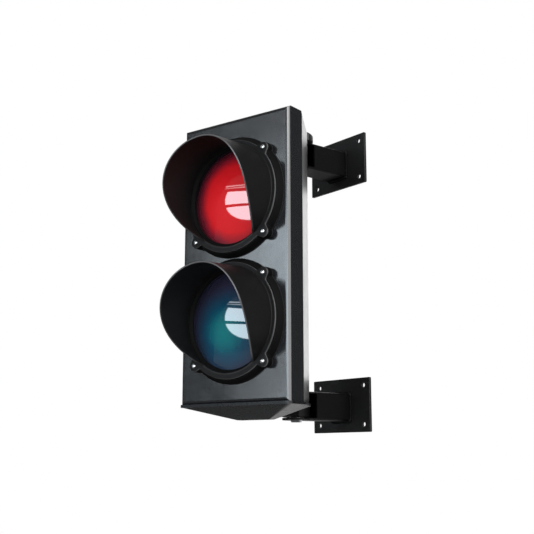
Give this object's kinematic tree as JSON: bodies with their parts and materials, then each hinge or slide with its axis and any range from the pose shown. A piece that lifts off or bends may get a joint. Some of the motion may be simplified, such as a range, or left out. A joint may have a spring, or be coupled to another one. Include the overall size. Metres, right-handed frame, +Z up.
{
  "type": "wall-mounted two-aspect signal lantern",
  "caption": "Red-over-green signal lantern with tunnel visors on a slim housing, swivelling on two square-arm wall brackets.",
  "frame": {"origin": "on the wall, at the middle of the lower wall plate's four holes", "axes": "+Z up, front toward -Y, +X to the right seen from the front; the wall is the plane y = 0"},
  "size_m": [0.1873, 0.3182, 0.448],
  "materials": {
    "bracket_paint": "satin black powder coat",
    "zinc_steel": "bright zinc plate",
    "bright_screws": "polished stainless screw heads",
    "knob_plastic": "matt black moulding",
    "nylon": "natural nylon",
    "panel_plastic": "semi-gloss black",
    "housing_plastic": "semi-gloss black",
    "seal_rubber": "matt black rubber",
    "terminal_plastic": "cream moulding",
    "gland_plastic": "matt black nylon",
    "visor_plastic": "satin black",
    "red_lens": "clear red moulded lens",
    "green_lens": "clear blue-green moulded lens",
    "bright_reflector": "bright metallised dish",
    "bulb_glass": "frosted glass",
    "bulb_brass": "nickel-plated brass",
    "porcelain": "glazed ceramic"
  },
  "bodies": {
    "wall_mount": {"upper_wall_plate": "bracket_paint", "lower_wall_plate": "bracket_paint", "upper_arm": "bracket_paint", "lower_arm": "bracket_paint", "upper_pivot_bolt": "zinc_steel", "lower_pivot_bolt": "zinc_steel", "lower_pivot_nut": "zinc_steel", "upper_lock_knob": "knob_plastic", "upper_thrust_washers": "nylon", "lower_thrust_washers": "nylon"},
    "lantern": {"upper_swivel_lug": "bracket_paint", "lower_swivel_lug": "bracket_paint", "lug_screws": "zinc_steel", "front_panel": "panel_plastic", "rear_housing": "housing_plastic", "housing_gasket": "seal_rubber", "housing_screws": "zinc_steel", "bottom_cap": "housing_plastic", "cap_screws": "zinc_steel", "chassis_plate": "zinc_steel", "terminal_block": "terminal_plastic", "cable_gland": "gland_plastic", "gland_cap_nut": "gland_plastic", "gland_seal": "seal_rubber", "gland_lock_nut": "gland_plastic", "red_bezel": "visor_plastic", "green_bezel": "visor_plastic", "red_bezel_gasket": "seal_rubber", "green_bezel_gasket": "seal_rubber", "red_lens": "red_lens", "green_lens": "green_lens", "red_lens_gasket": "seal_rubber", "green_lens_gasket": "seal_rubber", "red_visor": "visor_plastic", "green_visor": "visor_plastic", "red_visor_screws": "bright_screws", "green_visor_screws": "bright_screws", "red_visor_nuts": "zinc_steel", "green_visor_nuts": "zinc_steel", "red_reflector": "bright_reflector", "green_reflector": "bright_reflector", "red_bulb": "bulb_glass", "green_bulb": "bulb_glass", "red_bulb_cap": "bulb_brass", "green_bulb_cap": "bulb_brass", "red_lamp_holder": "porcelain", "green_lamp_holder": "porcelain", "holder_screws": "zinc_steel"}
  },
  "joints": [
    {"name": "lantern_swivel", "type": "hinge", "parent": "wall_mount", "child": "lantern", "pos_m": [0, -0.091, 0.185], "axis": [0, 0, 1], "range_deg": [-74.5, 45.5]}
  ]
}
